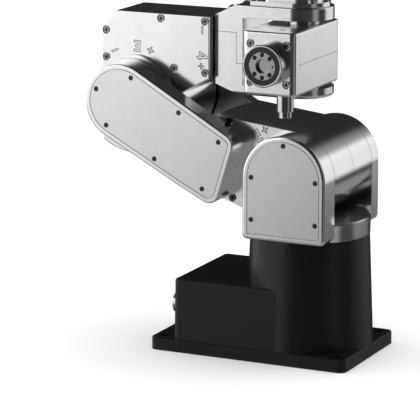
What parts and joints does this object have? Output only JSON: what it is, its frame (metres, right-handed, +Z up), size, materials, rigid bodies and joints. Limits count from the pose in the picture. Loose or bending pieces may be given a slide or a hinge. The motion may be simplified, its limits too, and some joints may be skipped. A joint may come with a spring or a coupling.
{
  "type": "desktop robot arm",
  "caption": "Small six-axis robot arm on a black base, with machined aluminium links, an enclosed elbow belt drive and a round drilled tool flange.",
  "frame": {"origin": "where axis 1 meets the underside of the base", "axes": "+Z up along axis 1, +X forward, +Y the arm's left side; the folded arm lies in the XZ plane and its tool flange faces -Y"},
  "size_m": [0.2061, 0.1228, 0.276],
  "materials": {
    "black_anodised": "matt black anodised aluminium",
    "machined_aluminium": "fine bead-blasted bright aluminium",
    "cover_plate": "finely brushed aluminium sheet",
    "connector_metal": "turned and polished metal",
    "dark_steel": "black oxide screws",
    "screw_steel": "bright steel screws and shafts",
    "bearing_steel": "ground bearing steel",
    "motor_black": "black motor can",
    "seal_rubber": "black rubber",
    "jack_plastic": "black moulded plastic",
    "light_plastic": "tinted light pipe",
    "board_green": "printed circuit board"
  },
  "bodies": {
    "base": {"base_housing": "black_anodised", "base_floor_plate": "black_anodised", "rear_panel": "black_anodised", "power_connector": "connector_metal", "network_jacks": "jack_plastic", "status_lights": "light_plastic", "base_screws": "dark_steel", "base_boards": "board_green", "base_motor": "motor_black", "base_gear_unit": "bearing_steel", "base_bearing": "bearing_steel"},
    "shoulder": {"turntable": "machined_aluminium", "front_ear": "machined_aluminium", "rear_ear": "machined_aluminium", "front_ear_cover": "cover_plate", "rear_ear_cover": "cover_plate", "ear_cover_screws": "dark_steel", "shoulder_axles": "screw_steel"},
    "upper_arm": {"upper_arm_front": "machined_aluminium", "upper_arm_rear": "machined_aluminium", "elbow_rear_cap": "machined_aluminium", "upper_arm_screws": "dark_steel", "shoulder_bearings": "bearing_steel", "shoulder_gear_unit": "bearing_steel", "shoulder_motor": "motor_black", "belt_housing": "machined_aluminium", "belt_cover": "cover_plate", "elbow_motor": "motor_black", "elbow_pulleys": "screw_steel", "elbow_belt": "seal_rubber", "elbow_axles": "screw_steel"},
    "forearm": {"forearm_housing": "machined_aluminium", "forearm_front_plate": "machined_aluminium", "forearm_screws": "screw_steel", "elbow_discs": "machined_aluminium", "elbow_bearings": "bearing_steel", "elbow_gear_unit": "bearing_steel", "roll_motor": "motor_black", "roll_gear_unit": "bearing_steel", "roll_bearing": "bearing_steel", "roll_seal": "seal_rubber", "forearm_board": "board_green"},
    "fork": {"fork_lower": "machined_aluminium", "fork_upper": "machined_aluminium", "roll_shaft": "screw_steel", "pitch_drive_cap": "machined_aluminium", "fork_screws": "screw_steel", "pitch_drive": "motor_black", "pitch_bearings": "bearing_steel"},
    "wrist": {"wrist_front_plate": "machined_aluminium", "wrist_screws": "screw_steel", "wrist_upper_shell": "machined_aluminium", "wrist_lower_shell": "machined_aluminium", "wrist_pivots": "machined_aluminium", "nose_ring": "connector_metal", "flange_seal": "seal_rubber", "tool_bearing": "bearing_steel", "tool_drive": "motor_black", "tool_io_connector": "connector_metal"},
    "tool_flange_body": {"tool_flange": "connector_metal"}
  },
  "joints": [
    {"name": "base_turn", "type": "hinge", "parent": "base", "child": "shoulder", "pos_m": [0, 0, 0.09], "axis": [0, 0, 1], "range_deg": [-175, 175]},
    {"name": "shoulder_lift", "type": "hinge", "parent": "shoulder", "child": "upper_arm", "pos_m": [0, 0, 0.135], "axis": [0, 1, 0], "range_deg": [0, 100]},
    {"name": "elbow_bend", "type": "hinge", "parent": "upper_arm", "child": "forearm", "pos_m": [-0.12686, 0, 0.18117], "axis": [0, 1, 0], "range_deg": [-205, 0]},
    {"name": "forearm_roll", "type": "hinge", "parent": "forearm", "child": "fork", "pos_m": [-0.064, 0, 0.21917], "axis": [1, 0, 0], "range_deg": [-130, 15]},
    {"name": "wrist_bend", "type": "hinge", "parent": "fork", "child": "wrist", "pos_m": [-0.00686, 0, 0.21917], "axis": [0, 0, 1], "range_deg": [-25, 205]},
    {"name": "flange_turn", "type": "hinge", "parent": "wrist", "child": "tool_flange_body", "pos_m": [-0.00686, -0.065, 0.21917], "axis": [0, -1, 0], "continuous": true}
  ]
}
